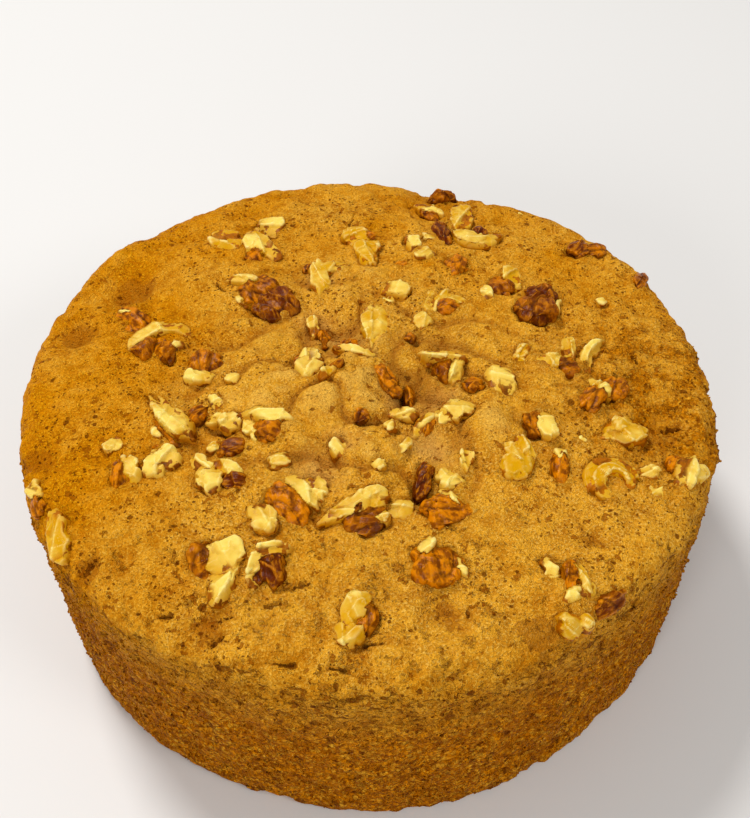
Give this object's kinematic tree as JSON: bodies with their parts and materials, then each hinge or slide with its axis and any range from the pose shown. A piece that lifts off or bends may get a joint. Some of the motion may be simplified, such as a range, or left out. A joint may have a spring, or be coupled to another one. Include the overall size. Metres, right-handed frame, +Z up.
{
  "type": "cinnamon walnut cake",
  "caption": "Round golden brown cinnamon cake, baked in a tin, with broken walnut pieces half sunk in its lumpy top crust.",
  "frame": {"origin": "centre of the cake's flat base", "axes": "+Z up through the top crust, -Y towards the side that faces the viewer, +X to the viewer's right"},
  "size_m": [0.1998, 0.2015, 0.0783],
  "materials": {
    "crust": "stands for baked cake crust: matt, golden tan on top and browner on the side, with fine pores and crumbs",
    "walnut": "stands for broken walnut: cream and yellow flesh, slightly waxy, with amber to dark brown skin"
  },
  "bodies": {
    "root": {"cake": "crust", "walnut_01": "walnut", "walnut_02": "walnut", "walnut_03": "walnut", "walnut_04": "walnut", "walnut_05": "walnut", "walnut_06": "walnut", "walnut_07": "walnut", "walnut_08": "walnut", "walnut_09": "walnut", "walnut_10": "walnut", "walnut_11": "walnut", "walnut_12": "walnut", "walnut_13": "walnut", "walnut_14": "walnut", "walnut_15": "walnut", "walnut_16": "walnut", "walnut_17": "walnut", "walnut_18": "walnut", "walnut_19": "walnut", "walnut_20": "walnut", "walnut_21": "walnut", "walnut_22": "walnut", "walnut_23": "walnut", "walnut_24": "walnut", "walnut_25": "walnut", "walnut_26": "walnut", "walnut_27": "walnut", "walnut_28": "walnut", "walnut_29": "walnut", "walnut_30": "walnut", "walnut_31": "walnut", "walnut_32": "walnut", "walnut_33": "walnut", "walnut_34": "walnut", "walnut_35": "walnut", "walnut_36": "walnut", "walnut_37": "walnut", "walnut_38": "walnut", "walnut_39": "walnut", "walnut_40": "walnut", "walnut_41": "walnut", "walnut_42": "walnut", "walnut_43": "walnut", "walnut_44": "walnut", "walnut_45": "walnut", "walnut_46": "walnut", "walnut_47": "walnut", "walnut_48": "walnut", "walnut_49": "walnut", "walnut_50": "walnut", "walnut_51": "walnut", "walnut_52": "walnut", "walnut_53": "walnut", "walnut_54": "walnut", "walnut_55": "walnut", "walnut_56": "walnut", "walnut_57": "walnut", "walnut_58": "walnut"}
  },
  "joints": []
}
